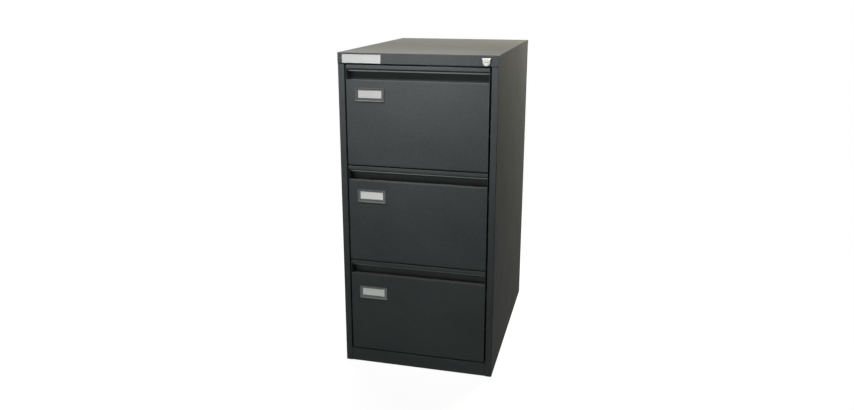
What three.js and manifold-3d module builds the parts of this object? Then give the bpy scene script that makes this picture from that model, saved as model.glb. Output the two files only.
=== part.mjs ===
// A three-drawer vertical filing cabinet of folded sheet steel, in millimetres.
// X runs across the front to the right, Y from the front to the back and Z up from the floor.
// The origin is on the floor, at the middle of the footprint.
import * as THREE from "three";
import { mergeVertices } from "three/addons/utils/BufferGeometryUtils.js";
import Module from "manifold-3d";

// Carcass
const WIDTH = 480;
const DEPTH = 700;
const HEIGHT = 1000;
const CARCASS_SHEET = 1;
const FASCIA_HEIGHT = 32;
const FASCIA_RETURN = 12;
const TOP_REAR_FLANGE = 15;
const SIDE_TOP_FLANGE = 12;
const SIDE_REAR_FLANGE = 16;
const POST_WIDTH = 20;
const POST_RETURN = 18;
const PLINTH_HEIGHT = 46;
const PLINTH_RETURN = 20;
const PLINTH_FOOT = 15;
const PAN_DROP = 2; // base pan below the plinth's top
const PAN_FOOT = 40; // width of the folds that the glides plug into
const FLOOR_GAP = 3; // below the sides, plinth and back
const BACK_INSET = 1;
const RIB_SPACING = 220; // between the two swages of the back panel
const RIB_WIDTH = 26;
const RIB_DEPTH = 3;

// Folds and clearances
const BEND = 1.5; // inside radius of a fold
const FOLD_STEP = Math.PI / 6; // turn of one facet of a fold
const FIT = 0.3; // between neighbours, and each side of a sliding fit
const SEAT = 0.1; // under a piece that is fixed to a face
const SEAM = 0.8; // between the top cover and the posts
const REVEAL = 4; // above and below each drawer front
const SIDE_REVEAL = 5; // between a drawer front and a post

// Glides
const GLIDE_RADIUS = 14;
const GLIDE_HEAD = 5;
const GLIDE_EDGE = 1.2;
const GLIDE_STEM_RADIUS = 4;
const GLIDE_STEM_LENGTH = 9;
const GLIDE_INSET_X = 22; // from the pan's wall
const GLIDE_INSET_Y = 45; // from the pan's ends

// Uprights and telescopic runners
const UPRIGHT_DEPTH = 28;
const UPRIGHT_SETBACK = 0.5; // outside the posts' inner edges
const RUNNER_SHEET = 1.2;
const RUNNER_WIDTH = 12.5;
const RUNNER_HEIGHT = 45;
const RUNNER_RISE = 120; // above the drawer front's lower edge
const RUNNER_LEAD = 2; // behind the front uprights' face
const RUNNER_LIP_STEP = 1; // each outer member's lips stop this much earlier

// Drawers
const DRAWERS = 3;
const FRONT_SHEET = 1.2;
const FRONT_DEPTH = 20;
const HANDLE_DROP = 43; // drawer's top down to the panel's upper edge
const STRIP_HEIGHT = 10;
const GRIP_DEPTH = 16; // front face back to the rolled edge
const GRIP_DROP = 5.7; // strip's lower edge down to the rolled edge
const GRIP_RADIUS = 2.6;
const GRIP_INSET = 3; // drawer front's ends to the rolled edge's ends
const RECESS_DEPTH = 38;
const LEDGE_FALL = 4; // fall of the recess floor towards the back
const END_LAP = 5; // recess ends below the recess floor
const TRAY_SHEET = 1;
const TRAY_LIFT = 6; // above the drawer front's lower edge
const TRAY_BACK_ROOM = 22;
const RAIL_WIDTH = 20; // folded rails that hanging folders ride on
const RAIL_DROP = 12;
const RAIL_ROOM = 5; // rails below the recess ends
const BACK_FLANGE = 17;

// Label holders
const LABEL_WIDTH = 90;
const WINDOW_WIDTH = 72;
const WINDOW_HEIGHT = 23.5;
const LABEL_TOP_BORDER = 5.5;
const LABEL_LOW_BORDER = 11;
const LABEL_INSET = 73.5; // drawer front's left edge to the window's centre
const LABEL_DROPS = [41, 46, 58]; // panel's upper edge to the window's centre, fitted by hand
const LABEL_PLATE = 2.2;
const LABEL_RIM = 3.4;
const LABEL_RIM_WIDTH = 3;
const LABEL_CORNER = 2;
const CARD_LAP = 2; // card behind the window's borders
const CARD_THICKNESS = 0.4;
const CARD_ROOM = 1;

// Badge plate
const BADGE_WIDTH = 119;
const BADGE_HEIGHT = 25;
const BADGE_THICKNESS = 1.2;
const BADGE_CORNER = 1.5;
const BADGE_INSET = 14.5; // from the cabinet's left side
const BADGE_RISE = 1.8; // above the fascia's lower edge

// Lock
const LOCK_INSET = 35; // from the cabinet's right side
const BEZEL_WIDTH = 22;
const BEZEL_EAR = 2; // ears of the bezel's head beyond its body
const BEZEL_HEAD = 4.5;
const BEZEL_RISE = 12; // plug's centre up to the bezel's top
const BEZEL_PROUD = 6;
const BARREL_RADIUS = 7.5;
const BARREL_LENGTH = 19;
const NUT_RADIUS = 9.6;
const NUT_LENGTH = 4;
const PLUG_RADIUS = 5.6;
const PLUG_PROUD = 0.6;
const PLUG_TAIL_RADIUS = 3.5;
const KEYWAY_WIDTH = 7.5;
const KEYWAY_HEIGHT = 1.8;
const KEYWAY_DEPTH = 10;
const CAM_SHEET = 2.5;
const CAM_RADIUS = 6.5;
const CAM_PIN_RADIUS = 2;
const CAM_EYE_WALL = 2.2;
const CRANK = 8; // plug's axis to the cam's pin
const CRANK_ANGLE = Math.PI / 4; // of the pin above the horizontal, unlocked
const BAR_SHEET = 2;
const BAR_ROOM = 4; // behind the drawer fronts and posts
const BAR_SLOT_PLAY = 0.5;
const BAR_SLOT_WALL = 3.5;
const BAR_TAIL = 20; // below the lowest guide
const HOOK_HEIGHT = 9;
const HOOK_LAP = 6; // hook in front of its catch
const CATCH_DROP = 35; // below the handle's recess
const CATCH_SHEET = 1.6;
const CATCH_HEIGHT = 9;
const CATCH_REACH = 10;
const CATCH_FOOT = 18;
const CATCH_PLAY = 2; // behind the bar
const GUIDE_SHEET = 1.2;
const GUIDE_HEIGHT = 14;
const GUIDE_LIP = 4;
const GUIDE_DROP = 60; // below each catch
const GUIDE_STANDOFF = 4; // bar to the front uprights

// Facets
const ROUND_STEPS = 28; // of a full circle
const ARC_STEPS = 6; // of each arc in an outline

// Places across the cabinet
const halfWidth = WIDTH / 2;
const wallInside = halfWidth - CARCASS_SHEET - FIT;
const postInside = halfWidth - POST_WIDTH;
const frontHalf = postInside - SIDE_REVEAL;
const uprightFace = postInside + UPRIGHT_SETBACK;
const runnerBack = uprightFace - FIT;
const runnerFace = runnerBack - RUNNER_WIDTH;
const trayHalf = runnerFace - FIT;
const barLeft = uprightFace + GUIDE_SHEET + 2 * FIT;
const barRight = wallInside - GUIDE_SHEET - 2 * FIT;
const lockX = halfWidth - LOCK_INSET;
const pinX = lockX + CRANK * Math.cos(CRANK_ANGLE);

// Places from the front face to the back
const proud = BEZEL_PROUD + PLUG_PROUD;
const backInside = DEPTH - CARCASS_SHEET - RIB_DEPTH - FIT;
const innerFrontAt = FRONT_DEPTH + FIT;
const trayFront = innerFrontAt + TRAY_SHEET + FIT;
const trayEnd = DEPTH - CARCASS_SHEET - TRAY_BACK_ROOM;
const barFront = Math.max(POST_RETURN, FRONT_DEPTH) + BAR_ROOM;
const barBack = barFront + BAR_SHEET;
const uprightFront = barBack + GUIDE_STANDOFF;
const runnerFront = uprightFront + RUNNER_LEAD;
const runnerEnd = trayEnd - RUNNER_LEAD;
const catchFront = barBack + CATCH_PLAY;
const camFront = BARREL_LENGTH + FIT;
const camBack = camFront + CAM_SHEET;

// Heights
const topInside = HEIGHT - CARCASS_SHEET - FIT;
const fasciaLow = HEIGHT - FASCIA_HEIGHT;
const panTop = PLINTH_HEIGHT - PAN_DROP;
const panLow = GLIDE_HEAD + SEAT;
const uprightTop = topInside - CARCASS_SHEET - FIT;
const pitch = (fasciaLow - PLINTH_HEIGHT - REVEAL) / DRAWERS;
const frontHeight = pitch - REVEAL;
const panelTop = frontHeight - HANDLE_DROP;
const recessLow = panelTop - LEDGE_FALL - END_LAP;
const trayTop = recessLow - RAIL_ROOM;
const catchRise = recessLow - CATCH_DROP;
const lockZ = fasciaLow + CARCASS_SHEET + BEND + NUT_RADIUS + FIT;
const pinZ = lockZ + CRANK * Math.sin(CRANK_ANGLE);
const lockThrow = 2 * CRANK * Math.sin(CRANK_ANGLE);
const drawerBottoms = Array.from(
  { length: DRAWERS },
  (_, i) => PLINTH_HEIGHT + REVEAL + (DRAWERS - 1 - i) * pitch,
);

// Finishes
function finish(color, roughness, metalness) {
  return new THREE.MeshStandardMaterial({ color, roughness, metalness });
}
const coat = finish(0x4a4e4f, 0.55, 0);
const zinc = finish(0xa9adb0, 0.38, 1);
const chrome = finish(0xd9dbdd, 0.12, 1);
const holderPlastic = finish(0x565b5e, 0.45, 0);
const paper = finish(0xd8d8d4, 0.9, 0);
const plate = finish(0xe4e5e6, 0.35, 0.2);
const blackPlastic = finish(0x18191a, 0.6, 0);

const wasm = await Module();
wasm.setup();

// A closed geometry as a solid that can be joined and cut.
function solid(geometry) {
  const bare = geometry.clone();
  bare.deleteAttribute("normal");
  bare.deleteAttribute("uv");
  const merged = mergeVertices(bare, 1e-4);
  const mesh = new wasm.Mesh({
    numProp: 3,
    vertProperties: merged.attributes.position.array,
    triVerts: new Uint32Array(merged.index.array),
  });
  return new wasm.Manifold(mesh);
}

// A solid's faces as a geometry.
function surface(body) {
  const mesh = body.getMesh();
  const geometry = new THREE.BufferGeometry();
  geometry.setAttribute("position", new THREE.BufferAttribute(mesh.vertProperties, 3));
  geometry.setIndex(new THREE.BufferAttribute(mesh.triVerts, 1));
  const faceted = geometry.toNonIndexed();
  faceted.computeVertexNormals();
  return faceted;
}

function join(...geometries) {
  return surface(geometries.map(solid).reduce((whole, next) => whole.add(next)));
}

function cut(geometry, ...tools) {
  return surface(tools.map(solid).reduce((rest, tool) => rest.subtract(tool), solid(geometry)));
}

const X = new THREE.Vector3(1, 0, 0);
const Y = new THREE.Vector3(0, 1, 0);
const Z = new THREE.Vector3(0, 0, 1);

// A flat outline pushed along an axis: (y, z) along x, (x, z) along y or (x, y) along z.
function push(outline, axis, from, to) {
  const points = Array.isArray(outline) && outline.map(([u, v]) => new THREE.Vector2(u, v));
  const shape = points ? new THREE.Shape(points) : outline;
  const settings = { depth: to - from, bevelEnabled: false, curveSegments: ARC_STEPS };
  const geometry = new THREE.ExtrudeGeometry(shape, settings);
  const sides = { x: [Y, Z, X], y: [X, Z, Y.clone().negate()], z: [X, Y, Z] }[axis];
  const start = sides[2].clone().multiplyScalar(axis === "y" ? -to : from);
  return geometry.applyMatrix4(new THREE.Matrix4().makeBasis(...sides).setPosition(start));
}

// A box between two corners.
function block([x0, y0, z0], [x1, y1, z1]) {
  const geometry = new THREE.BoxGeometry(x1 - x0, y1 - y0, z1 - z0);
  return geometry.translate((x0 + x1) / 2, (y0 + y1) / 2, (z0 + z1) / 2);
}

// A round bar along Y.
function rod(radius, x, z, from, to) {
  const geometry = new THREE.CylinderGeometry(radius, radius, to - from, ROUND_STEPS);
  return geometry.translate(x, (from + to) / 2, z);
}

// The outline of a folded sheet: the path runs along one face, and the sheet lies on its left.
function foldedSheet(path, sheet) {
  const corners = path.map(([u, v]) => new THREE.Vector2(u, v));
  const leftOf = (v) => new THREE.Vector2(-v.y, v.x).normalize();
  const near = [];
  const far = [];
  corners.forEach((corner, i) => {
    const before = corners[i - 1];
    const after = corners[i + 1];
    if (!before || !after) {
      const along = before ? corner.clone().sub(before) : after.clone().sub(corner);
      near.push(corner);
      far.push(corner.clone().addScaledVector(leftOf(along), sheet));
      return;
    }
    const arriving = corner.clone().sub(before).normalize();
    const leaving = after.clone().sub(corner).normalize();
    const turn = Math.atan2(arriving.cross(leaving), arriving.dot(leaving));
    const nearRadius = turn > 0 ? BEND + sheet : BEND;
    const farRadius = turn > 0 ? BEND : BEND + sheet;
    const start = corner.clone().addScaledVector(arriving, -nearRadius * Math.tan(Math.abs(turn) / 2));
    const centre = start.clone().addScaledVector(leftOf(arriving), Math.sign(turn) * nearRadius);
    const first = start.clone().sub(centre).angle();
    const facets = Math.max(1, Math.round(Math.abs(turn) / FOLD_STEP));
    for (let k = 0; k <= facets; k++) {
      const angle = first + (turn * k) / facets;
      const spoke = new THREE.Vector2(Math.cos(angle), Math.sin(angle));
      near.push(centre.clone().addScaledVector(spoke, nearRadius));
      far.push(centre.clone().addScaledVector(spoke, farRadius));
    }
  });
  return new THREE.Shape([...near, ...far.reverse()]);
}

// The same path for the other side of the cabinet.
const mirrored = (path) => path.map(([x, v]) => [-x, v]).reverse();
const onSide = (path, side) => (side > 0 ? path : mirrored(path));

// A rectangle with round corners, as a shape or as a hole's path.
function roundedRectangle(Kind, x0, v0, x1, v1, radius) {
  const outline = new Kind();
  outline.absarc(x1 - radius, v0 + radius, radius, -Math.PI / 2, 0);
  outline.absarc(x1 - radius, v1 - radius, radius, 0, Math.PI / 2);
  outline.absarc(x0 + radius, v1 - radius, radius, Math.PI / 2, Math.PI);
  outline.absarc(x0 + radius, v0 + radius, radius, Math.PI, 1.5 * Math.PI);
  outline.closePath();
  return outline;
}

const cabinet = new THREE.Group();
cabinet.position.y = (proud - DEPTH) / 2; // inside the group, y is the depth behind the front face

function add(parent, name, geometry, material) {
  const mesh = new THREE.Mesh(geometry, material);
  mesh.name = name;
  parent.add(mesh);
}

const SIDES = [
  ["left", -1],
  ["right", 1],
];

// A side with its front post, its rear flange and a flange under the top cover.
function sidePanel(side) {
  const rear = DEPTH - CARCASS_SHEET - FIT;
  const path = [
    [postInside, POST_RETURN],
    [postInside, 0],
    [halfWidth, 0],
    [halfWidth, rear],
    [halfWidth - SIDE_REAR_FLANGE, rear],
  ];
  const wall = push(foldedSheet(onSide(path, side), CARCASS_SHEET), "z", FLOOR_GAP, topInside);
  const inner = side * (halfWidth - CARCASS_SHEET - SIDE_TOP_FLANGE);
  const outer = side * (halfWidth - CARCASS_SHEET / 2);
  const flange = block(
    [Math.min(inner, outer), POST_RETURN, topInside - CARCASS_SHEET],
    [Math.max(inner, outer), rear - 2 * CARCASS_SHEET, topInside],
  );
  const edge = CARCASS_SHEET + FIT;
  const over = HEIGHT + FIT;
  const frontNotch = [
    [-edge, fasciaLow - SEAM],
    [edge, fasciaLow - SEAM],
    [edge, topInside - BEND],
    [edge + BEND, topInside],
    [edge + BEND, over],
    [-edge, over],
  ];
  const rearNotch = [
    [rear, topInside - BEND],
    [DEPTH, topInside - BEND],
    [DEPTH, over],
    [rear - BEND, over],
    [rear - BEND, topInside],
  ];
  const notches = [frontNotch, rearNotch].map((outline) => push(outline, "x", -WIDTH, WIDTH));
  return cut(join(wall, flange), ...notches);
}

function carcass() {
  SIDES.forEach(([word, side]) => add(cabinet, `${word}_side_panel`, sidePanel(side), coat));

  const topPath = [
    [DEPTH, HEIGHT - TOP_REAR_FLANGE],
    [DEPTH, HEIGHT],
    [0, HEIGHT],
    [0, fasciaLow],
    [FASCIA_RETURN, fasciaLow],
  ];
  const top = push(foldedSheet(topPath, CARCASS_SHEET), "x", -halfWidth, halfWidth);
  const lockHole = rod(BARREL_RADIUS + FIT, lockX, lockZ, -BEZEL_PROUD, BARREL_LENGTH);
  const returnEnds = [-halfWidth, postInside - FIT].map((x) =>
    block(
      [x, CARCASS_SHEET, fasciaLow - FIT],
      [x + POST_WIDTH + FIT, FASCIA_RETURN + FIT, fasciaLow + CARCASS_SHEET + BEND],
    ),
  );
  add(cabinet, "top_cover", cut(top, lockHole, ...returnEnds), coat);

  const ribs = [1, -1].flatMap((side) => {
    const middle = (side * RIB_SPACING) / 2;
    const low = RIB_WIDTH / 2 - RIB_DEPTH;
    return [
      [middle + RIB_WIDTH / 2, DEPTH],
      [middle + low, DEPTH - RIB_DEPTH],
      [middle - low, DEPTH - RIB_DEPTH],
      [middle - RIB_WIDTH / 2, DEPTH],
    ];
  });
  const backPath = [[halfWidth - BACK_INSET, DEPTH], ...ribs, [BACK_INSET - halfWidth, DEPTH]];
  const backTop = HEIGHT - TOP_REAR_FLANGE - FIT;
  add(cabinet, "back_panel", push(foldedSheet(backPath, CARCASS_SHEET), "z", FLOOR_GAP, backTop), coat);

  const plinthPath = [
    [PLINTH_RETURN, PLINTH_HEIGHT],
    [0, PLINTH_HEIGHT],
    [0, FLOOR_GAP],
    [PLINTH_FOOT, FLOOR_GAP],
  ];
  const plinthHalf = postInside - FIT;
  const plinth = push(foldedSheet(plinthPath, CARCASS_SHEET), "x", -plinthHalf, plinthHalf);
  add(cabinet, "front_plinth", plinth, coat);

  const badgeLeft = BADGE_INSET - halfWidth;
  const badgeLow = fasciaLow + BADGE_RISE;
  const badge = roundedRectangle(
    THREE.Shape,
    badgeLeft,
    badgeLow,
    badgeLeft + BADGE_WIDTH,
    badgeLow + BADGE_HEIGHT,
    BADGE_CORNER,
  );
  add(cabinet, "badge_plate", push(badge, "y", -BADGE_THICKNESS - SEAT, -SEAT), plate);
}

// The base pan and the four glides that plug into its folds.
function base() {
  const panFront = PLINTH_RETURN + FIT;
  const inner = wallInside - PAN_FOOT;
  const path = [
    [inner, panLow],
    [wallInside, panLow],
    [wallInside, panTop],
    [-wallInside, panTop],
    [-wallInside, panLow],
    [-inner, panLow],
  ];
  const pan = push(foldedSheet(path, CARCASS_SHEET), "y", panFront, backInside);
  const glideX = wallInside - GLIDE_INSET_X;
  const places = [
    ["front", panFront + GLIDE_INSET_Y],
    ["rear", backInside - GLIDE_INSET_Y],
  ].flatMap(([end, y]) =>
    SIDES.map(([word, side]) => ({ name: `glide_${end}_${word}`, x: side * glideX, y })),
  );
  const holes = places.map(({ x, y }) => {
    const radius = GLIDE_STEM_RADIUS + FIT;
    const drill = new THREE.CylinderGeometry(radius, radius, 2 * panLow, ROUND_STEPS);
    return drill.rotateX(Math.PI / 2).translate(x, y, panLow);
  });
  add(cabinet, "base_pan", cut(pan, ...holes), coat);

  const stemTop = GLIDE_HEAD + GLIDE_STEM_LENGTH;
  const profile = [
    [0, 0],
    [GLIDE_RADIUS - GLIDE_EDGE, 0],
    [GLIDE_RADIUS, GLIDE_EDGE],
    [GLIDE_RADIUS, GLIDE_HEAD - GLIDE_EDGE],
    [GLIDE_RADIUS - GLIDE_EDGE, GLIDE_HEAD],
    [GLIDE_STEM_RADIUS, GLIDE_HEAD],
    [GLIDE_STEM_RADIUS, stemTop - GLIDE_EDGE],
    [GLIDE_STEM_RADIUS - GLIDE_EDGE, stemTop],
    [0, stemTop],
  ].map(([r, z]) => new THREE.Vector2(r, z));
  places.forEach(({ name, x, y }) => {
    const glide = new THREE.LatheGeometry(profile, ROUND_STEPS).rotateX(Math.PI / 2);
    add(cabinet, name, glide.translate(x, y, 0), blackPlastic);
  });
}

// A bracket on the front right upright that the lock bar slides in.
function barGuide(middle) {
  const low = middle - GUIDE_HEIGHT / 2;
  const high = middle + GUIDE_HEIGHT / 2;
  const lipFront = barFront - FIT - GUIDE_SHEET;
  const lipBack = barFront - FIT;
  const cheekBack = uprightFront + CARCASS_SHEET / 2;
  const left = barLeft - FIT - GUIDE_SHEET;
  const right = barRight + FIT + GUIDE_SHEET;
  return [
    block([left, lipFront, low], [left + GUIDE_SHEET, cheekBack, high]),
    block([right - GUIDE_SHEET, lipFront, low], [right, cheekBack, high]),
    block([left, lipFront, low], [left + GUIDE_LIP, lipBack, high]),
    block([right - GUIDE_LIP, lipFront, low], [right, lipBack, high]),
  ];
}

function uprights() {
  const places = [
    ["front", uprightFront],
    ["rear", runnerEnd - UPRIGHT_DEPTH],
  ];
  places.forEach(([end, front]) =>
    SIDES.forEach(([word, side]) => {
      const path = [
        [wallInside, front + UPRIGHT_DEPTH],
        [uprightFace, front + UPRIGHT_DEPTH],
        [uprightFace, front],
        [wallInside, front],
      ];
      const channel = push(foldedSheet(onSide(path, side), CARCASS_SHEET), "z", panTop + FIT, uprightTop);
      const guided = end === "front" && side > 0;
      const guides = guided ? drawerBottoms.flatMap((z) => barGuide(z + catchRise - GUIDE_DROP)) : [];
      add(cabinet, `${end}_${word}_upright`, join(channel, ...guides), coat);
    }),
  );
}

// The three nested members of one runner: cabinet, middle and drawer member.
function runner(side) {
  const step = RUNNER_SHEET + FIT;
  const channel = (web, lip, half) => [
    [lip, -half],
    [web, -half],
    [web, half],
    [lip, half],
  ];
  const half = RUNNER_HEIGHT / 2;
  const drawerLip = runnerBack - 2 * step - BEND;
  const paths = {
    cabinet: channel(runnerBack, runnerFace + 2 * RUNNER_LIP_STEP, half),
    middle: channel(runnerBack - step, runnerFace + RUNNER_LIP_STEP, half - step),
    drawer: channel(runnerFace, drawerLip, half - 2 * step).reverse(),
  };
  const member = (path) => push(foldedSheet(onSide(path, side), RUNNER_SHEET), "y", runnerFront, runnerEnd);
  return Object.entries(paths).map(([word, path]) => [word, member(path)]);
}

// One folded sheet: panel, recess, strip and a sloping grip with a rolled edge, with closed ends.
function drawerFront() {
  const path = [
    [GRIP_DEPTH, frontHeight - STRIP_HEIGHT - GRIP_DROP],
    [FRONT_SHEET, frontHeight - STRIP_HEIGHT],
    [FRONT_SHEET, frontHeight - FRONT_SHEET],
    [RECESS_DEPTH, frontHeight - FRONT_SHEET],
    [RECESS_DEPTH, panelTop - LEDGE_FALL],
    [0, panelTop],
    [0, 0],
    [FRONT_DEPTH, 0],
  ];
  const skin = push(foldedSheet(path, FRONT_SHEET), "x", -frontHalf, frontHalf);
  const rollZ = path[0][1] - GRIP_RADIUS / 2;
  const roll = new THREE.CylinderGeometry(GRIP_RADIUS, GRIP_RADIUS, 2 * frontHalf, ROUND_STEPS / 2);
  roll.rotateZ(-Math.PI / 2).translate(0, GRIP_DEPTH, rollZ);
  const notches = [-frontHalf, frontHalf - GRIP_INSET].map((x) =>
    block(
      [x, -FIT, rollZ - GRIP_RADIUS - FIT],
      [x + GRIP_INSET, GRIP_DEPTH + GRIP_RADIUS + FIT, frontHeight - STRIP_HEIGHT - FRONT_SHEET],
    ),
  );
  const inset = FRONT_SHEET / 2;
  const corner = inset + BEND + inset;
  const back = RECESS_DEPTH + inset;
  const end = [
    [corner, inset],
    [FRONT_DEPTH, inset],
    [FRONT_DEPTH, recessLow],
    [back, recessLow],
    [back, frontHeight - corner],
    [back + inset - corner, frontHeight - inset],
    [corner, frontHeight - inset],
    [inset, frontHeight - corner],
    [inset, corner],
  ];
  const ends = [-frontHalf, frontHalf - FRONT_SHEET].map((x) => push(end, "x", x, x + FRONT_SHEET));
  return join(cut(join(skin, roll), ...notches), ...ends);
}

// Floor and sides in one sheet, with the sides' upper edges folded into rails.
function drawerTray() {
  const rail = trayHalf - RAIL_WIDTH;
  const right = [
    [trayHalf, TRAY_LIFT],
    [trayHalf, trayTop],
    [rail, trayTop],
    [rail, trayTop - RAIL_DROP],
  ];
  return push(foldedSheet([...mirrored(right), ...right], TRAY_SHEET), "y", trayFront, trayEnd);
}

function drawerBack() {
  const half = trayHalf - TRAY_SHEET - FIT;
  const path = [
    [half, trayEnd - BACK_FLANGE],
    [half, trayEnd],
    [-half, trayEnd],
    [-half, trayEnd - BACK_FLANGE],
  ];
  const low = TRAY_LIFT + TRAY_SHEET + BEND + FIT;
  return push(foldedSheet(path, TRAY_SHEET), "z", low, trayTop - RAIL_DROP - FIT);
}

// The label frame with its raised rim, its window and a card slot that opens to the right.
function labelHolder(x, z) {
  const left = x - LABEL_WIDTH / 2;
  const right = x + LABEL_WIDTH / 2;
  const low = z - WINDOW_HEIGHT / 2 - LABEL_LOW_BORDER;
  const high = z + WINDOW_HEIGHT / 2 + LABEL_TOP_BORDER;
  const ring = (inset, hole) => {
    const shape = roundedRectangle(THREE.Shape, left, low, right, high, LABEL_CORNER);
    shape.holes.push(roundedRectangle(THREE.Path, ...hole, LABEL_CORNER / 2));
    return push(shape, "y", -SEAT - inset, -SEAT);
  };
  const windowHole = [
    x - WINDOW_WIDTH / 2,
    z - WINDOW_HEIGHT / 2,
    x + WINDOW_WIDTH / 2,
    z + WINDOW_HEIGHT / 2,
  ];
  const rimHole = [
    left + LABEL_RIM_WIDTH,
    low + LABEL_RIM_WIDTH,
    right - LABEL_RIM_WIDTH,
    high - LABEL_RIM_WIDTH,
  ];
  const frame = join(ring(LABEL_PLATE, windowHole), ring(LABEL_RIM, rimHole));
  const slot = block(
    [windowHole[0] - CARD_LAP - FIT, -SEAT - CARD_ROOM, windowHole[1] - CARD_LAP - FIT],
    [right + FIT, SEAT, windowHole[3] + CARD_LAP + FIT],
  );
  return cut(frame, slot);
}

function labelCard(x, z) {
  const halfCard = WINDOW_WIDTH / 2 + CARD_LAP;
  const halfHigh = WINDOW_HEIGHT / 2 + CARD_LAP;
  const back = -SEAT - (CARD_ROOM - CARD_THICKNESS) / 2;
  return block([x - halfCard, back - CARD_THICKNESS, z - halfHigh], [x + halfCard, back, z + halfHigh]);
}

// An angle on the tray's right side that the bar's hook drops in front of.
function lockCatch() {
  const foot = trayHalf + SEAT;
  const low = catchRise - CATCH_HEIGHT / 2;
  const high = catchRise + CATCH_HEIGHT / 2;
  return join(
    block([foot, catchFront, low], [foot + CATCH_SHEET, catchFront + CATCH_FOOT, high]),
    block([foot, catchFront, low], [foot + CATCH_REACH, catchFront + CATCH_SHEET, high]),
  );
}

function drawer(bottom, number) {
  const group = new THREE.Group();
  group.position.z = bottom;
  cabinet.add(group);
  const name = (word) => `drawer_${number}_${word}`;
  add(group, name("front"), drawerFront(), coat);
  const innerHalf = frontHalf - FIT;
  const innerFront = block(
    [-innerHalf, innerFrontAt, FIT],
    [innerHalf, innerFrontAt + TRAY_SHEET, recessLow - FIT],
  );
  add(group, name("inner_front"), innerFront, coat);
  add(group, name("tray"), drawerTray(), coat);
  add(group, name("back"), drawerBack(), coat);
  const labelX = LABEL_INSET - frontHalf;
  const labelZ = panelTop - LABEL_DROPS[(number - 1) % LABEL_DROPS.length];
  add(group, name("label_holder"), labelHolder(labelX, labelZ), holderPlastic);
  add(group, name("label_card"), labelCard(labelX, labelZ), paper);
  add(group, name("lock_catch"), lockCatch(), zinc);
  const runners = new THREE.Group();
  runners.position.z = RUNNER_RISE;
  group.add(runners);
  SIDES.forEach(([word, side]) =>
    runner(side).forEach(([member, geometry]) => {
      add(runners, name(`${word}_${member}_runner`), geometry, zinc);
    }),
  );
}

// The bezel's outline: a head with ears over a body with a round lower end.
function bezelOutline() {
  const half = BEZEL_WIDTH / 2;
  const outline = new THREE.Shape();
  outline.moveTo(half, 0);
  outline.lineTo(half, BEZEL_RISE - BEZEL_HEAD);
  outline.lineTo(half + BEZEL_EAR, BEZEL_RISE - BEZEL_HEAD + BEZEL_EAR);
  outline.lineTo(half + BEZEL_EAR, BEZEL_RISE);
  outline.lineTo(-half - BEZEL_EAR, BEZEL_RISE);
  outline.lineTo(-half - BEZEL_EAR, BEZEL_RISE - BEZEL_HEAD + BEZEL_EAR);
  outline.lineTo(-half, BEZEL_RISE - BEZEL_HEAD);
  outline.lineTo(-half, 0);
  outline.absarc(0, 0, half, Math.PI, 2 * Math.PI);
  return outline;
}

// The bar that the cam lifts and lowers, at its unlocked height: a strip with a hook for each
// drawer, and the slotted head on its upper end that the cam's pin runs in.
function lockBar() {
  const slotHalf = CAM_PIN_RADIUS + BAR_SLOT_PLAY;
  const headLow = pinZ - slotHalf - BAR_SLOT_WALL;
  const headHigh = pinZ + slotHalf + BAR_SLOT_WALL;
  const slotLeft = pinX - slotHalf;
  const slotRight = lockX + CRANK + slotHalf;
  const bottom = Math.min(...drawerBottoms) + catchRise - GUIDE_DROP - BAR_TAIL;
  const hookTip = trayHalf + SEAT + CATCH_REACH - HOOK_LAP;
  const hooks = drawerBottoms.map((z) => {
    const middle = z + catchRise + lockThrow;
    const half = HOOK_HEIGHT / 2;
    return block([hookTip, barFront, middle - half], [barRight, barBack, middle + half]);
  });
  const strip = block([barLeft, barFront, bottom], [barRight, barBack, headLow - FIT]);
  add(cabinet, "lock_bar", join(strip, ...hooks), zinc);

  const headPlate = block([slotLeft - BAR_SLOT_WALL, barFront, headLow], [barRight, barBack, headHigh]);
  const slot = block(
    [slotLeft, barFront - FIT, pinZ - slotHalf],
    [slotRight, barBack + FIT, pinZ + slotHalf],
  );
  add(cabinet, "lock_bar_head", cut(headPlate, slot), zinc);
}

function lock() {
  const bezel = push(bezelOutline(), "y", -BEZEL_PROUD - SEAT, -SEAT).translate(lockX, 0, lockZ);
  const barrel = rod(BARREL_RADIUS, lockX, lockZ, -BEZEL_PROUD / 2, BARREL_LENGTH);
  const bore = rod(PLUG_RADIUS + FIT, lockX, lockZ, -2 * BEZEL_PROUD, 2 * BARREL_LENGTH);
  add(cabinet, "lock_housing", cut(join(bezel, barrel), bore), chrome);

  const nutFront = CARCASS_SHEET + SEAT;
  const nut = rod(NUT_RADIUS, lockX, lockZ, nutFront, nutFront + NUT_LENGTH);
  const nutBore = rod(BARREL_RADIUS + FIT, lockX, lockZ, -NUT_LENGTH, 2 * BARREL_LENGTH);
  add(cabinet, "lock_nut", cut(nut, nutBore), zinc);

  const plug = rod(PLUG_RADIUS, lockX, lockZ, -proud, BARREL_LENGTH);
  const tail = rod(PLUG_TAIL_RADIUS, lockX, lockZ, BARREL_LENGTH - PLUG_RADIUS, camBack + FIT);
  const keyway = block(
    [lockX - KEYWAY_WIDTH / 2, -2 * proud, lockZ - KEYWAY_HEIGHT / 2],
    [lockX + KEYWAY_WIDTH / 2, KEYWAY_DEPTH - proud, lockZ + KEYWAY_HEIGHT / 2],
  );
  add(cabinet, "lock_plug", cut(join(plug, tail), keyway), chrome);

  const disc = rod(CAM_RADIUS, lockX, lockZ, camFront, camBack);
  const eye = rod(CAM_PIN_RADIUS + CAM_EYE_WALL, pinX, pinZ, camFront, camBack);
  const pin = rod(CAM_PIN_RADIUS, pinX, pinZ, camFront, barBack + BAR_SHEET);
  const tailHole = rod(PLUG_TAIL_RADIUS + FIT, lockX, lockZ, 0, 2 * camBack);
  add(cabinet, "lock_cam", cut(join(disc, eye, pin), tailHole), zinc);

  lockBar();
}

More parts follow.
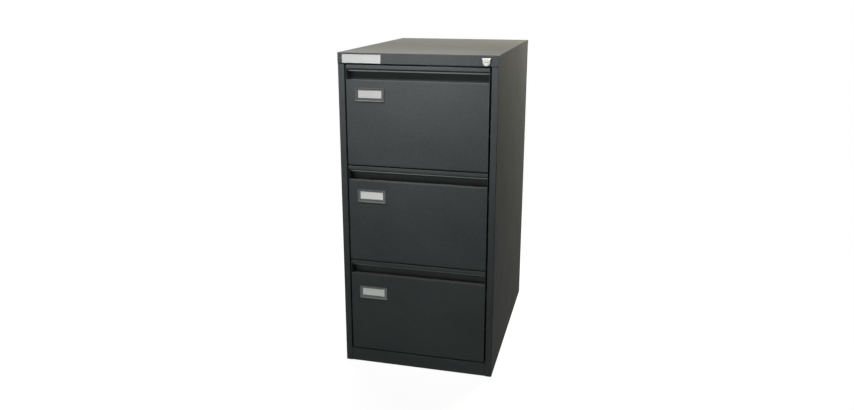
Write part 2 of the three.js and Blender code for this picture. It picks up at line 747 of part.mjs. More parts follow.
carcass();
base();
uprights();
drawerBottoms.forEach((bottom, i) => drawer(bottom, i + 1));
lock();

export default cabinet;
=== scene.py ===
# The looks of a three-drawer vertical filing cabinet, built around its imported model.
# Metres, in the model's own frame: X to the right, Y from the front to the back, Z up from the floor.
import math

import bmesh
import bpy
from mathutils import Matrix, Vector


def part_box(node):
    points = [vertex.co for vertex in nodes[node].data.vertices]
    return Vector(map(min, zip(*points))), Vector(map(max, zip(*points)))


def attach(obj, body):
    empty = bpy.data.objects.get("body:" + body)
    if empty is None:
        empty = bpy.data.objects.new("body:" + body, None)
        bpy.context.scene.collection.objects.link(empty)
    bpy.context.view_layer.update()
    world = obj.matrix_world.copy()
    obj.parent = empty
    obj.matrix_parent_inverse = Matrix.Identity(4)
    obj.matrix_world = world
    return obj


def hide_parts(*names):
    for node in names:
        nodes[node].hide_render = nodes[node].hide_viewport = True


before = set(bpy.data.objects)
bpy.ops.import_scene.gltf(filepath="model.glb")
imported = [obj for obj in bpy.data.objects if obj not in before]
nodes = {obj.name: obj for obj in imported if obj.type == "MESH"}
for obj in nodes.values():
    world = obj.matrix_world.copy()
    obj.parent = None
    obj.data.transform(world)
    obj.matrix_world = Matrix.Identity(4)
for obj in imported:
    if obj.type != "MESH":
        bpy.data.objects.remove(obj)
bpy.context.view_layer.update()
MM = 0.001
DRAWERS = (1, 2, 3)  # from the top down
SIDES = {"left": -1, "right": 1}

# Camera, fitted to the photographed corners of the cabinet
IMAGE_WIDTH = 854
CAMERA_PLACE = (0.5453, -2.3660, 1.1725)
CAMERA_AZIMUTH = 14.248  # degrees towards the cabinet's right
CAMERA_ELEVATION = 15.013  # degrees above the horizon
CAMERA_LENS = 30.426  # millimetres on a 36 mm sensor
CAMERA_SHIFT = -20 / IMAGE_WIDTH  # the photograph's subject sits a little above the middle

# Lamps, with the spread in degrees of the one that favours the upper drawer
LAMPS = {
    "key_light": {
        "place": (-0.05, -0.86, 1.42),
        "target": (0.0, -0.35, 0.93),
        "size": (0.7, 0.12),
        "power": 1.7,
        "colour": (1.0, 0.98, 1.0),
        "spread": 70,
    },
    "front_light": {
        "place": (-0.5, -2.3, 0.75),
        "target": (0.0, -0.35, 0.5),
        "size": (1.8, 1.4),
        "power": 14,
        "colour": (0.92, 1.0, 0.94),
    },
    "top_light": {
        "place": (0.0, 0.7, 1.9),
        "target": (0.0, 0.25, 1.0),
        "size": (0.8, 0.6),
        "power": 6,
        "colour": (1.0, 0.95, 0.86),
    },
    "right_light": {
        "place": (0.85, 1.25, 1.35),
        "target": (0.24, 0.25, 0.8),
        "size": (0.5, 0.5),
        "power": 36,
        "colour": (1.0, 0.93, 0.78),
    },
    "left_light": {
        "place": (-1.1, 0.95, 1.5),
        "target": (-0.2, 0.15, 0.7),
        "size": (0.8, 0.8),
        "power": 18,
        "colour": (1.0, 0.97, 0.92),
    },
}

# World and floor
FILL = 0.02  # of the world, for light that doesn't reach the camera or a gloss directly
FLOOR_HALF = 40
FLOOR_COLOUR = (0.14, 0.14, 0.14)
FLOOR_GLOW = 0.95  # of the floor as it is seen, so that it looks white and keeps the shadow
FLOOR_NEAR = 0.7  # the floor turns to plain white between these distances from the middle
FLOOR_FAR = 2.2

# Finishes: a darker and a lighter tone, and the roughness between two values
NOISE_BAND = (0.3, 0.7)  # where most of a noise pattern lies
COAT_TONES = ((0.054, 0.0585, 0.060), (0.082, 0.089, 0.0905))
COAT_ROUGH = (0.74, 0.86)
COAT_GLOSS = 0.02
ZINC_TONES = ((0.23, 0.236, 0.242), (0.33, 0.337, 0.344))
# Painted shade: the lock bar and catches, seen through the drawers' side gaps, are darkened so that the
# gaps look dark
SHADED_ZINC_TONES = ((0.05, 0.052, 0.054), (0.085, 0.088, 0.09))
ZINC_ROUGH = (0.42, 0.55)
CHROME_TONES = ((0.30, 0.297, 0.285), (0.41, 0.406, 0.39))
CHROME_ROUGH = (0.24, 0.36)
BADGE_TONES = ((0.40, 0.403, 0.40), (0.48, 0.483, 0.48))
BADGE_ROUGH = (0.3, 0.42)
BADGE_GLOSS = 0.3
BLACK_TONES = ((0.010, 0.010, 0.011), (0.016, 0.016, 0.017))
PLASTIC_ROUGH = (0.38, 0.5)
PLASTIC_GLOSS = 0.45
PAPER_ROUGH = (0.8, 0.95)
PAPER_GLOSS = 0.2

# Cards and their holders: tints, times a tone for each drawer that paints shade on the upper ones, where
# the key light is strongest
PAPER_TINTS = ((0.95, 0.95, 0.925), (1.05, 1.05, 1.025))
PAPER_SHADE_TONES = (0.47, 0.9, 0.94)
HOLDER_TINTS = ((0.9, 0.92, 0.93), (1.07, 1.1, 1.11))
HOLDER_SHADE_TONES = (0.06, 0.12, 0.165)

# Dust on the faces that look up, and its patches; on the top cover it also paints a sheen
SHEEN_AND_DUST = (0.286, 0.290, 0.264)
TOP_SHEEN_AND_DUST = 0.55
HANDLE_DUST = 0.3
SHEEN_AND_DUST_SLOPE = 0.8  # the least upward part of a dusty face's normal
SHEEN_AND_DUST_BAND = (0.25, 0.75)
SHEEN_AND_DUST_PATCHES = (0.84, 1.0)

# Wear and a painted highlight on the handles' rolled edges, which lie this far from the drawer fronts'
# faces and upper edges
ROLL_DEPTH = 0.016
ROLL_DROP = 0.017
ROLL_RADIUS = 0.0026
RUB_AND_HIGHLIGHT_RADIUS = 1.5 * ROLL_RADIUS
RUB_AND_HIGHLIGHT_COAT = (0.57, 0.58, 0.57)
RUBBED_GLOSS = 0.5
RUBBED_POLISH = 0.4
RUB_AND_HIGHLIGHT_PATCHES = (0.75, 1.0)
LEAST_RUB_AND_HIGHLIGHT = 0.35  # the lowest drawer's share of the wear and painted highlight on the uppermost one's rolled edge

# Painted shade on the walls of the lock plug's keyway
KEYWAY_SHADE = (0.02, 0.019, 0.017)
KEYWAY_REACH = 0.0045  # from the plug's axis
KEYWAY_LIP = 0.0004

# Label holders, lock shield and badge
CARD_LAP = 0.002  # card behind the holder's window borders
CARD_GAP = 0.0001
POCKET_ROOM = 0.0003
HOLDER_CORNER = 0.002
WINDOW_CORNER = 0.001
SHIELD_EAR = 0.002
SHIELD_HEAD = 0.0045
SHIELD_STEP = 0.0015
BARREL_RADIUS = 0.0075
BORE_ROOM = 0.0003
BADGE_CORNER = 0.0015
LEAST_CORNER = 0.0003
CORNER_STEPS = 6
ARC_STEPS = 28

# Sections of the finer pieces: millimetres in from the edge, and back from the front
HOLDER_RIM = ((0, 1.0), (0.2, 0.35), (0.6, 0.05), (1.0, 0), (1.4, 0.1), (3.6, 1.7), (3.9, 1.85), (4.1, 1.8))
HOLDER_LIP = ((1.2, 1.25), (1.0, 1.0), (0.4, 0.95), (0.1, 1.1), (0, 1.4))
SHIELD_EDGE = ((1.7, 0), (0.9, 0.2), (0.3, 0.75), (0, 1.6))
SHIELD_COLLAR = ((0, 0.3), (0.1, -0.3), (0.4, -0.5), (1.3, -0.5), (1.8, -0.35), (2.2, 0), (2.9, -0.05))
BADGE_EDGE = ((0, 1.2), (0, 0.45), (0.12, 0.15), (0.45, 0), (1.0, 0), (1.25, 0.15), (1.45, 0.4))

# Rivets that hold the trays to the runners, and their heads in millimetres of radius and rise
TRAY_SHEET = 0.001
RIVET_RUN = (0.12, 0.5, 0.88)  # along the tray, as shares of its length
RIVET_STEPS = 20
RIVET_HEAD = ((3.2, 0), (3.2, 0.25), (2.9, 0.65), (2.2, 1.0), (1.1, 1.2))

# Angles behind the joints of the plinth and the posts
CARCASS_SHEET = 0.001
ANGLE_SHEET = 0.001
ANGLE_WIDTH = 0.022
ANGLE_DEPTH = 0.0155
ANGLE_BEND = 0.0012
ANGLE_LAP = 0.0002  # past the plinth's end, into its gap to the post
ANGLE_ROOM = 0.00005
ANGLE_MARGIN = 0.0004

# Finishing of the folded sheets
WELD_REACH = 2e-5
FLAT_ANGLE = math.radians(1)
EDGE_ANGLE = math.radians(50)
FOLD_ANGLE = math.radians(36)
EDGE_RADIUS = 0.00025
EDGE_STEPS = 2
FLAT_WEIGHT = 100  # of large faces in the shading


# Camera, lamps, world and floor


def place_camera():
    camera = bpy.data.objects.new("camera", bpy.data.cameras.new("camera"))
    camera.location = CAMERA_PLACE
    camera.rotation_euler = (math.radians(90 - CAMERA_ELEVATION), 0, math.radians(CAMERA_AZIMUTH))
    camera.data.lens = CAMERA_LENS
    camera.data.shift_y = CAMERA_SHIFT
    bpy.context.scene.collection.objects.link(camera)
    bpy.context.scene.camera = camera


def area_light(name, place, target, size, power, colour, spread=180):
    data = bpy.data.lights.new(name, "AREA")
    data.shape = "RECTANGLE"
    data.size, data.size_y = size
    data.energy = power
    data.color = colour
    data.spread = math.radians(spread)
    light = bpy.data.objects.new(name, data)
    light.location = place
    light.rotation_euler = (Vector(target) - Vector(place)).to_track_quat("-Z", "Y").to_euler()
    bpy.context.scene.collection.objects.link(light)


def seen_directly(tree):
    """1 for rays that show the background: from the camera, in a gloss or through glass."""
    rays = tree.nodes.new("ShaderNodeLightPath")
    glossy = math_node(tree, "MAXIMUM", rays.outputs["Is Camera Ray"], rays.outputs["Is Glossy Ray"])
    return math_node(tree, "MAXIMUM", glossy, rays.outputs["Is Transmission Ray"])


def make_world():
    world = bpy.data.worlds.new("studio")
    world.use_nodes = True
    bpy.context.scene.world = world
    tree = world.node_tree
    background = tree.nodes["Background"]
    background.inputs["Color"].default_value = (1, 1, 1, 1)
    level = map_range(tree, seen_directly(tree), 0, 1, FILL, 1)
    tree.links.new(level, background.inputs["Strength"])


def floor_white():
    """Matt with a glow near the object, so that its shadow shows, and plain white far from it."""
    material = bpy.data.materials.new("floor_white")
    material.use_nodes = True
    tree = material.node_tree
    tree.nodes.clear()
    matt = tree.nodes.new("ShaderNodeBsdfDiffuse")
    matt.inputs["Color"].default_value = (*FLOOR_COLOUR, 1)
    seen = seen_directly(tree)
    glow = tree.nodes.new("ShaderNodeEmission")
    tree.links.new(math_node(tree, "MULTIPLY", seen, FLOOR_GLOW), glow.inputs["Strength"])
    near = tree.nodes.new("ShaderNodeAddShader")
    tree.links.new(matt.outputs["BSDF"], near.inputs[0])
    tree.links.new(glow.outputs["Emission"], near.inputs[1])
    white = tree.nodes.new("ShaderNodeEmission")
    distance = tree.nodes.new("ShaderNodeVectorMath")
    distance.operation = "LENGTH"
    tree.links.new(object_place(tree), distance.inputs[0])
    far = map_range(tree, distance.outputs["Value"], FLOOR_NEAR, FLOOR_FAR, 0, 1, "SMOOTHSTEP")
    mix = tree.nodes.new("ShaderNodeMixShader")
    tree.links.new(math_node(tree, "MULTIPLY", far, seen), mix.inputs["Fac"])
    tree.links.new(near.outputs["Shader"], mix.inputs[1])
    tree.links.new(white.outputs["Emission"], mix.inputs[2])
    output = tree.nodes.new("ShaderNodeOutputMaterial")
    tree.links.new(mix.outputs["Shader"], output.inputs["Surface"])
    return material


def make_floor():
    corners = [(x * FLOOR_HALF, y * FLOOR_HALF, 0) for x, y in ((-1, -1), (1, -1), (1, 1), (-1, 1))]
    mesh = bpy.data.meshes.new("floor")
    mesh.from_pydata(corners, [], [(0, 1, 2, 3)])
    mesh.materials.append(floor_white())
    floor = bpy.data.objects.new("floor", mesh)
    bpy.context.scene.collection.objects.link(floor)


# Shader building blocks


def math_node(tree, operation, *values):
    node = tree.nodes.new("ShaderNodeMath")
    node.operation = operation
    for socket, value in zip(node.inputs, values):
        if isinstance(value, (int, float)):
            socket.default_value = value
        else:
            tree.links.new(value, socket)
    return node.outputs["Value"]


def length_of(tree, across, up):
    squared = math_node(tree, "MULTIPLY", across, across)
    return math_node(tree, "SQRT", math_node(tree, "MULTIPLY_ADD", up, up, squared))


def map_range(tree, value, low, high, new_low, new_high, curve="LINEAR"):
    node = tree.nodes.new("ShaderNodeMapRange")
    node.interpolation_type = curve
    tree.links.new(value, node.inputs["Value"])
    node.inputs["From Min"].default_value = low
    node.inputs["From Max"].default_value = high
    node.inputs["To Min"].default_value = new_low
    node.inputs["To Max"].default_value = new_high
    return node.outputs["Result"]


def split(tree, vector):
    """A vector's parts, by the names of their axes."""
    node = tree.nodes.new("ShaderNodeSeparateXYZ")
    tree.links.new(vector, node.inputs["Vector"])
    return node.outputs


def object_place(tree, stretch=None):
    """A point's place on its piece in metres, drawn out along an axis where stretch is below 1."""
    place = tree.nodes.new("ShaderNodeTexCoord").outputs["Object"]
    if not stretch:
        return place
    mapping = tree.nodes.new("ShaderNodeMapping")
    mapping.inputs["Scale"].default_value = stretch
    tree.links.new(place, mapping.inputs["Vector"])
    return mapping.outputs["Vector"]


def noise(tree, place, per_metre, detail, roughness=0.5):
    node = tree.nodes.new("ShaderNodeTexNoise")
    node.inputs["Scale"].default_value = per_metre
    node.inputs["Detail"].default_value = detail
    node.inputs["Roughness"].default_value = roughness
    tree.links.new(place, node.inputs["Vector"])
    return node.outputs["Fac"]


def mingle(tree, first, second, share):
    """Two patterns in one, with this share of the first."""
    rest = math_node(tree, "MULTIPLY", second, 1 - share)
    return math_node(tree, "MULTIPLY_ADD", first, share, rest)


def vary(tree, pattern, low, high):
    """Values between low and high that follow a noise pattern."""
    return map_range(tree, pattern, *NOISE_BAND, low, high)


def tones(tree, pattern, dark, light):
    """Colours between dark and light that follow a noise pattern."""
    node = tree.nodes.new("ShaderNodeValToRGB")
    for element, at, colour in zip(node.color_ramp.elements, NOISE_BAND, (dark, light)):
        element.position = at
        element.color = (*colour, 1)
    tree.links.new(pattern, node.inputs["Fac"])
    return node.outputs["Color"]


def blend_colours(tree, share, first, second):
    """The first colour, and where share is 1 the second, which is the same all over."""
    node = tree.nodes.new("ShaderNodeMix")
    node.data_type = "RGBA"
    tree.links.new(share, node.inputs["Factor"])
    tree.links.new(first, node.inputs[6])
    node.inputs[7].default_value = (*second, 1)
    return node.outputs[2]


def relief(tree, height, depth, strength, under=None):
    node = tree.nodes.new("ShaderNodeBump")
    node.inputs["Strength"].default_value = strength
    node.inputs["Distance"].default_value = depth
    tree.links.new(height, node.inputs["Height"])
    if under:
        tree.links.new(under, node.inputs["Normal"])
    return node.outputs["Normal"]


def new_material(name, **settings):
    """A node material whose uniform settings are written on its shader's own sockets."""
    material = bpy.data.materials.new(name)
    material.use_nodes = True
    tree = material.node_tree
    shader = tree.nodes["Principled BSDF"]
    for key, value in settings.items():
        shader.inputs[key.replace("_", " ").title().replace("Ior", "IOR")].default_value = value
    return material, tree, shader


def link_shader(tree, shader, colour, rough, normal):
    tree.links.new(colour, shader.inputs["Base Color"])
    tree.links.new(rough, shader.inputs["Roughness"])
    tree.links.new(normal, shader.inputs["Normal"])


# Materials


def powder_coat(name, dust_and_sheen=0, handled=False):
    """Matt powder coat: uneven tone, speckle, orange peel, dust on faces that look up, which on the top
    cover is also a painted sheen, and rubbed handles whose rolled edges carry a painted highlight.
    """
    material, tree, shader = new_material(name, specular_ior_level=COAT_GLOSS)
    place = object_place(tree)
    cloud = noise(tree, place, per_metre=7, detail=3)
    speckle = noise(tree, place, per_metre=420, detail=2)
    peel = noise(tree, place, per_metre=330, detail=2)
    grain = noise(tree, place, per_metre=1700, detail=1)
    colour = tones(tree, mingle(tree, speckle, cloud, share=0.65), *COAT_TONES)
    rough = vary(tree, peel, *COAT_ROUGH)
    if dust_and_sheen:
        # Dust on upward faces, which on the top cover is also a painted sheen
        level = map_range(tree, facing_up(tree), SHEEN_AND_DUST_SLOPE, 1, 0, dust_and_sheen)
        drift = noise(tree, place, per_metre=11, detail=4)
        patches = map_range(tree, drift, *SHEEN_AND_DUST_BAND, *SHEEN_AND_DUST_PATCHES)
        colour = blend_colours(tree, math_node(tree, "MULTIPLY", level, patches), colour, SHEEN_AND_DUST)
    if handled:
        # Painted highlight and wear: the rolled edges are painted light, most on the upper drawers
        patches = vary(tree, cloud, *RUB_AND_HIGHLIGHT_PATCHES)
        rub_and_highlight = math_node(tree, "MULTIPLY", rolled_edge_rub_and_highlight(tree), patches)
        colour = blend_colours(tree, rub_and_highlight, colour, RUB_AND_HIGHLIGHT_COAT)
        rough = math_node(tree, "MULTIPLY_ADD", rub_and_highlight, -RUBBED_POLISH, rough)
        gloss = map_range(tree, rub_and_highlight, 0, 1, COAT_GLOSS, RUBBED_GLOSS)
        tree.links.new(gloss, shader.inputs["Specular IOR Level"])
    skin = relief(tree, peel, depth=0.00012, strength=0.5)
    normal = relief(tree, grain, depth=0.00004, strength=0.4, under=skin)
    link_shader(tree, shader, colour, rough, normal)
    return material


def facing_up(tree):
    normal = tree.nodes.new("ShaderNodeNewGeometry").outputs["Normal"]
    return split(tree, normal)["Z"]


def rolled_edge_rub_and_highlight(tree):
    """Wear and a painted highlight on the handles' rolled edges, fading towards the lower drawers, which
    all lie at the same height in their drawers' pitch.
    """
    place = split(tree, object_place(tree))
    low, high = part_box("drawer_3_front")
    pitch = (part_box("drawer_1_front")[0].z - low.z) / 2
    across = math_node(tree, "SUBTRACT", place["Y"], low.y + ROLL_DEPTH)
    height = math_node(tree, "SUBTRACT", place["Z"], high.z - ROLL_DROP + pitch / 2)
    up = math_node(tree, "SUBTRACT", math_node(tree, "FLOORED_MODULO", height, pitch), pitch / 2)
    distance = length_of(tree, across, up)
    mask = map_range(tree, distance, ROLL_RADIUS, RUB_AND_HIGHLIGHT_RADIUS, 1, 0, "SMOOTHSTEP")
    used = map_range(tree, place["Z"], high.z, high.z + 2 * pitch, LEAST_RUB_AND_HIGHLIGHT, 1)
    return math_node(tree, "MULTIPLY", mask, used)


def zinc_plate(name, dark, light):
    """Zinc plate with drawing marks along the runners and faint cloudy spangle."""
    material, tree, shader = new_material(name, metallic=1)
    marks = noise(tree, object_place(tree, stretch=(1, 0.02, 1)), per_metre=900, detail=3)
    cloud = noise(tree, object_place(tree), per_metre=40, detail=4)
    colour = tones(tree, mingle(tree, marks, cloud, share=0.3), dark, light)
    rough = vary(tree, cloud, *ZINC_ROUGH)
    link_shader(tree, shader, colour, rough, relief(tree, marks, depth=0.00002, strength=0.2))
    return material


def chrome(name, keyed=False):
    """Bright chrome with handling haze and hair scratches, and painted shade on the walls of the plug's
    keyway.
    """
    material, tree, shader = new_material(name, metallic=1)
    haze = noise(tree, object_place(tree), per_metre=220, detail=4)
    scratches = noise(tree, object_place(tree, stretch=(0.08, 1, 1)), per_metre=3000, detail=2)
    colour = tones(tree, haze, *CHROME_TONES)
    if keyed:
        # Painted shade on the walls of the keyway
        colour = blend_colours(tree, inside_keyway(tree), colour, KEYWAY_SHADE)
    rough = vary(tree, haze, *CHROME_ROUGH)
    link_shader(tree, shader, colour, rough, relief(tree, scratches, depth=0.00001, strength=0.3))
    return material


def inside_keyway(tree):
    """1 on the walls of the slot in the lock plug's face."""
    low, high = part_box("lock_plug")
    centre = (low + high) / 2
    place = split(tree, object_place(tree))
    across = math_node(tree, "SUBTRACT", place["X"], centre.x)
    up = math_node(tree, "SUBTRACT", place["Z"], centre.z)
    near_axis = math_node(tree, "LESS_THAN", length_of(tree, across, up), KEYWAY_REACH)
    behind = math_node(tree, "GREATER_THAN", place["Y"], low.y + KEYWAY_LIP)
    return math_node(tree, "MULTIPLY", near_axis, behind)


def moulded_plastic(name, dark, light):
    """Injection-moulded plastic with a spark-eroded grain."""
    material, tree, shader = new_material(name, specular_ior_level=PLASTIC_GLOSS)
    place = object_place(tree)
    grain = noise(tree, place, per_metre=2600, detail=2)
    flow = noise(tree, place, per_metre=60, detail=3)
    colour = tones(tree, flow, dark, light)
    rough = vary(tree, flow, *PLASTIC_ROUGH)
    link_shader(tree, shader, colour, rough, relief(tree, grain, depth=0.00004, strength=0.5))
    return material


def card_paper(name, dark, light):
    """Uncoated card with fibre flecks and a slightly cockled face."""
    material, tree, shader = new_material(name, specular_ior_level=PAPER_GLOSS)
    along = object_place(tree, stretch=(0.25, 1, 1))
    fibres = noise(tree, along, per_metre=1600, detail=4, roughness=0.7)
    cockle = noise(tree, object_place(tree), per_metre=35, detail=2)
    colour = tones(tree, fibres, dark, light)
    rough = vary(tree, fibres, *PAPER_ROUGH)
    skin = relief(tree, cockle, depth=0.0006, strength=0.25)
    normal = relief(tree, fibres, depth=0.00004, strength=0.5, under=skin)
    link_shader(tree, shader, colour, rough, normal)
    return material


def satin_plate(name):
    """Silver-white lacquered aluminium with a fine brushed grain along the plate."""
    material, tree, shader = new_material(name, specular_ior_level=BADGE_GLOSS)
    brushed = noise(tree, object_place(tree, stretch=(0.02, 1, 1)), per_metre=2400, detail=3)
    haze = noise(tree, object_place(tree), per_metre=90, detail=3)
    colour = tones(tree, brushed, *BADGE_TONES)
    rough = vary(tree, haze, *BADGE_ROUGH)
    link_shader(tree, shader, colour, rough, relief(tree, brushed, depth=0.00002, strength=0.4))
    return material


def toned(tints, tone):
    return [tuple(tone * part for part in tint) for tint in tints]


def make_finishes():
    """Materials by the names of their slots, or of the pieces that have one of their own."""
    made = {
        "charcoal_powder_coat": powder_coat("charcoal_powder_coat"),
        "top_dust_and_sheen_coat": powder_coat("top_dust_and_sheen_coat", dust_and_sheen=TOP_SHEEN_AND_DUST),
        "worn_and_highlit_powder_coat": powder_coat("worn_and_highlit_powder_coat", dust_and_sheen=HANDLE_DUST, handled=True),
        "zinc_plate": zinc_plate("zinc_plate", *ZINC_TONES),
        "shaded_zinc": zinc_plate("shaded_zinc", *SHADED_ZINC_TONES),
        "chrome": chrome("chrome"),
        "lock_plug": chrome("keyed_chrome", keyed=True),
        "badge_silver": satin_plate("badge_silver"),
        "black_plastic": moulded_plastic("black_plastic", *BLACK_TONES),
    }
    # Painted shade: cards and holders are darker on the upper drawers, where the key light is strongest
    for number, paper, holder in zip(DRAWERS, PAPER_SHADE_TONES, HOLDER_SHADE_TONES):
        card_shade_tones = toned(PAPER_TINTS, paper)
        holder_shade_tones = toned(HOLDER_TINTS, holder)
        made[f"drawer_{number}_label_card"] = card_paper(f"label_paper_{number}", *card_shade_tones)
        made[f"drawer_{number}_label_holder"] = moulded_plastic(f"label_plastic_{number}", *holder_shade_tones)
    return made


# Finish of the carried-over pieces


def fold_shading():
    """Geometry nodes that shade folds smoothly and keep the cut edges crisp."""
    group = bpy.data.node_groups.new("fold_shading", "GeometryNodeTree")
    for way in ("INPUT", "OUTPUT"):
        group.interface.new_socket("Mesh", in_out=way, socket_type="NodeSocketGeometry")
    entry = group.nodes.new("NodeGroupInput")
    leave = group.nodes.new("NodeGroupOutput")
    angle = group.nodes.new("GeometryNodeInputMeshEdgeAngle")
    sharp = group.nodes.new("FunctionNodeCompare")
    sharp.operation = "GREATER_THAN"
    sharp.inputs["B"].default_value = FOLD_ANGLE
    normal = group.nodes.new("GeometryNodeSetMeshNormal")
    normal.mode = "SHARPNESS"
    normal.inputs["Remove Custom"].default_value = True
    group.links.new(angle.outputs["Unsigned Angle"], sharp.inputs["A"])
    group.links.new(sharp.outputs["Result"], normal.inputs["Edge Sharpness"])
    group.links.new(entry.outputs["Mesh"], normal.inputs["Mesh"])
    group.links.new(normal.outputs["Mesh"], leave.inputs["Mesh"])
    return group


def finish_edges(piece, shading):
    """Welds a faceted solid, clears its flat faces of triangles and rounds its edges."""
    weld = piece.modifiers.new("weld", "WELD")
    weld.merge_threshold = WELD_REACH
    flat = piece.modifiers.new("flat_faces", "DECIMATE")
    flat.decimate_type = "DISSOLVE"
    flat.angle_limit = FLAT_ANGLE
    edge = piece.modifiers.new("rounded_edges", "BEVEL")
    edge.width = EDGE_RADIUS
    edge.segments = EDGE_STEPS
    edge.limit_method = "ANGLE"
    edge.angle_limit = EDGE_ANGLE
    edge.use_clamp_overlap = False
    shade_folds(piece, shading)


def shade_folds(piece, shading):
    smooth = piece.modifiers.new("fold_shading", "NODES")
    smooth.node_group = shading
    weighted = piece.modifiers.new("flat_shading", "WEIGHTED_NORMAL")
    weighted.keep_sharp = True
    weighted.weight = FLAT_WEIGHT


def finish_of(name, slot):
    if name in finishes:
        return finishes[name]
    # The top cover's dust also paints its sheen
    if name == "top_cover":
        return finishes["top_dust_and_sheen_coat"]
    if name.startswith("drawer") and name.endswith("_front"):
        return finishes["worn_and_highlit_powder_coat"]
    # Painted shade: the lock bar and catches take the darkened zinc
    if "lock_bar" in name or "lock_catch" in name:
        return finishes["shaded_zinc"]
    return finishes[slot]


def dress_nodes(shading):
    for name, piece in nodes.items():
        piece.data.materials[0] = finish_of(name, piece.data.materials[0].name.split(".")[0])
        finish_edges(piece, shading)


# Finer pieces: stand-ins for plain solids, rivets and angles


def rounded_rectangle(left, low, right, high, radius):
    """Points in X and Z, from the upper right corner round to the lower right one."""
    corners = (
        (right - radius, high - radius, 0),
        (left + radius, high - radius, 90),
        (left + radius, low + radius, 180),
        (right - radius, low + radius, 270),
    )
    points = []
    for x, z, start in corners:
        for step in range(CORNER_STEPS + 1):
            turn = math.radians(start + 90 * step / CORNER_STEPS)
            points.append((x + radius * math.cos(turn), z + radius * math.sin(turn)))
    return points


def inset_rectangle(low, high, inset, radius, y):
    """The rounded front outline of a box, inset from its edges, at y."""
    outline = rounded_rectangle(low.x + inset, low.z + inset, high.x - inset, high.z - inset, radius)
    return [(x, y, z) for x, z in outline]


def loft(name, loops, hollow=False):
    """Joins loops of points one to the next, and the last to the first in a hollow piece."""
    count = len(loops[0])
    faces = []
    for row in range(len(loops) if hollow else len(loops) - 1):
        start = row * count
        following = (row + 1) % len(loops) * count
        for k in range(count):
            after = (k + 1) % count
            faces.append((start + k, start + after, following + after, following + k))
    if not hollow:
        faces.append(tuple(range(count)))
        faces.append(tuple(range((len(loops) - 1) * count, len(loops) * count)))
    mesh = bpy.data.meshes.new(name)
    mesh.from_pydata([point for loop in loops for point in loop], [], faces)
    shape = bmesh.new()
    shape.from_mesh(mesh)
    bmesh.ops.recalc_face_normals(shape, faces=shape.faces)
    shape.to_mesh(mesh)
    shape.free()
    piece = bpy.data.objects.new(name, mesh)
    bpy.context.scene.collection.objects.link(piece)
    return piece


def seat(piece, finish, body, shading):
    piece.data.materials.append(finish)
    shade_folds(piece, shading)
    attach(piece, body)


def stand_for(piece, node, slot, body, shading):
    """Shows the finer piece instead of its solid, in the solid's finish."""
    seat(piece, finish_of(node, slot), body, shading)
    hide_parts(node)


def label_holder(number, shading):
    """A moulded frame: bevelled rim, groove, window lip and a pocket for the card."""
    node = f"drawer_{number}_label_holder"
    low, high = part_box(node)
    card_low, card_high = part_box(f"drawer_{number}_label_card")

    def outer(inset, y):
        radius = max(HOLDER_CORNER - inset / 2, LEAST_CORNER)
        return inset_rectangle(low, high, inset, radius, y)

    def window(outset, y):
        return inset_rectangle(card_low, card_high, CARD_LAP - outset, WINDOW_CORNER, y)

    ceiling = card_low.y - CARD_GAP
    pocket = CARD_LAP + POCKET_ROOM
    loops = [outer(0, high.y)]
    loops += [outer(MM * inset, low.y + MM * back) for inset, back in HOLDER_RIM]
    loops += [window(MM * outset, low.y + MM * back) for outset, back in HOLDER_LIP]
    loops += [window(0, ceiling), window(pocket, ceiling), window(pocket, high.y)]
    piece = loft(f"label_frame_{number}", loops, hollow=True)
    stand_for(piece, node, "label_plastic", f"drawer_{number}", shading)


def shield_outline(half, rise):
    """Points of the lock's shield about the plug: a round foot, sides, slanted ears and a flat head."""
    foot = [math.radians(180 + 180 * step / ARC_STEPS) for step in range(ARC_STEPS)]
    points = [(half * math.cos(turn), half * math.sin(turn)) for turn in foot]
    neck = rise - SHIELD_HEAD
    wide = half + SHIELD_EAR
    right = [(half, 0), (half, neck), (wide, neck + SHIELD_EAR), (wide, rise)]
    corners = right + [(-x, z) for x, z in reversed(right)]
    for (x0, z0), (x1, z1) in zip(corners, corners[1:]):
        steps = max(1, round(math.hypot(x1 - x0, z1 - z0) / SHIELD_STEP))
        points += [(x0 + (x1 - x0) * k / steps, z0 + (z1 - z0) * k / steps) for k in range(steps)]
    return points


def lock_shield(shading):
    """The lock's housing with rounded edges, a collar round the plug and its barrel behind."""
    low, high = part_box("lock_housing")
    plug_low, plug_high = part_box("lock_plug")
    centre = (plug_low + plug_high) / 2
    bore = (plug_high.x - plug_low.x) / 2 + BORE_ROOM
    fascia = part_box("badge_plate")[1].y
    outline = shield_outline((high.x - low.x) / 2 - SHIELD_EAR, high.z - centre.z)
    reaches = [math.hypot(x, z) for x, z in outline]

    def about_plug(shares, y):
        return [(centre.x + x * k, y, centre.z + z * k) for (x, z), k in zip(outline, shares)]

    def edge(inset, y):
        return about_plug([1 - inset / reach for reach in reaches], y)

    def ring(radius, y):
        return about_plug([radius / reach for reach in reaches], y)

    loops = [ring(bore, high.y)]
    loops += [ring(bore + MM * out, low.y + MM * back) for out, back in SHIELD_COLLAR]
    loops += [edge(MM * inset, low.y + MM * back) for inset, back in SHIELD_EDGE]
    loops += [edge(0, fascia), ring(BARREL_RADIUS, fascia), ring(BARREL_RADIUS, high.y)]
    piece = loft("lock_shield", loops, hollow=True)
    stand_for(piece, "lock_housing", "chrome", "carcass", shading)


def blank_badge(shading):
    """The badge plate with a thin raised border round a blank field."""
    low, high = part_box("badge_plate")
    loops = []
    for inset, back in BADGE_EDGE:
        radius = max(BADGE_CORNER - MM * inset, LEAST_CORNER)
        loops.append(inset_rectangle(low, high, MM * inset, radius, low.y + MM * back))
    piece = loft("blank_badge", loops)
    stand_for(piece, "badge_plate", "badge_silver", "carcass", shading)


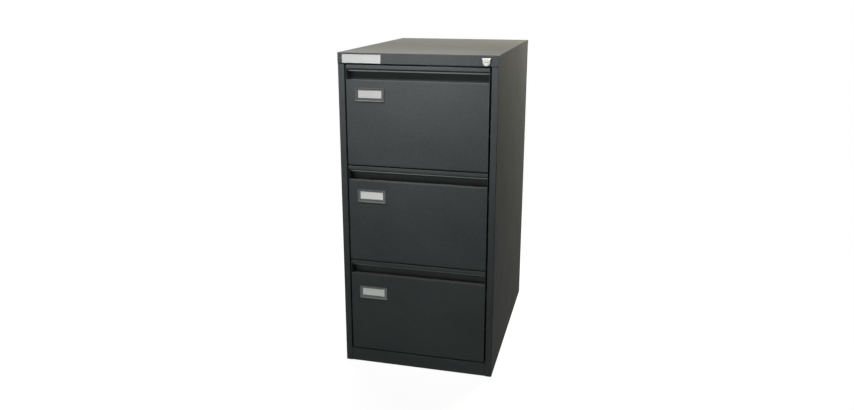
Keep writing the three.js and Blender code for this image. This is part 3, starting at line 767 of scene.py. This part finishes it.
def rivet(name, foot, inward, body, shading):
    """A domed head on a tray's inner side."""
    turns = [2 * math.pi * k / RIVET_STEPS for k in range(RIVET_STEPS)]
    circle = [Vector((0, math.cos(turn), math.sin(turn))) for turn in turns]
    loops = []
    for radius, rise in RIVET_HEAD:
        centre = Vector((foot[0] + inward * MM * rise, foot[1], foot[2]))
        loops.append([tuple(centre + MM * radius * point) for point in circle])
    seat(loft(name, loops), finishes["zinc_plate"], body, shading)


def tray_rivets(number, shading):
    low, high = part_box(f"drawer_{number}_tray")
    for word, side in SIDES.items():
        runner_low, runner_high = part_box(f"drawer_{number}_{word}_drawer_runner")
        height = (runner_low.z + runner_high.z) / 2
        for k, share in enumerate(RIVET_RUN, 1):
            foot = (side * (high.x - TRAY_SHEET), low.y + share * (high.y - low.y), height)
            rivet(f"drawer_{number}_{word}_rivet_{k}", foot, -side, f"drawer_{number}", shading)


def plinth_angle(word, side, shading):
    """A bent angle behind the joint of the plinth and a post."""
    low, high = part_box("front_plinth")
    turns = [math.radians(90 * k / CORNER_STEPS) for k in range(CORNER_STEPS + 1)]
    bend = [(ANGLE_BEND * (1 - math.sin(turn)), ANGLE_BEND * (1 - math.cos(turn))) for turn in turns]
    legs = [(0, ANGLE_DEPTH), (ANGLE_SHEET, ANGLE_DEPTH), (ANGLE_SHEET, ANGLE_SHEET)]
    outline = [(ANGLE_WIDTH, 0)] + bend + legs + [(ANGLE_WIDTH, ANGLE_SHEET)]
    end = high.x + ANGLE_LAP
    face = low.y + CARCASS_SHEET + ANGLE_ROOM
    margin = CARCASS_SHEET + ANGLE_MARGIN
    loops = []
    for z in (low.z + margin, high.z - margin):
        loops.append([(side * (end - inward), face + back, z) for inward, back in outline])
    piece = loft(f"plinth_angle_{word}", loops)
    seat(piece, finishes["charcoal_powder_coat"], "carcass", shading)


bpy.context.scene.view_settings.view_transform = "Standard"
place_camera()
make_world()
make_floor()
for name, settings in LAMPS.items():
    area_light(name, **settings)
finishes = make_finishes()
shading = fold_shading()
dress_nodes(shading)
for number in DRAWERS:
    label_holder(number, shading)
    tray_rivets(number, shading)
lock_shield(shading)
blank_badge(shading)
for word, side in SIDES.items():
    plinth_angle(word, side, shading)
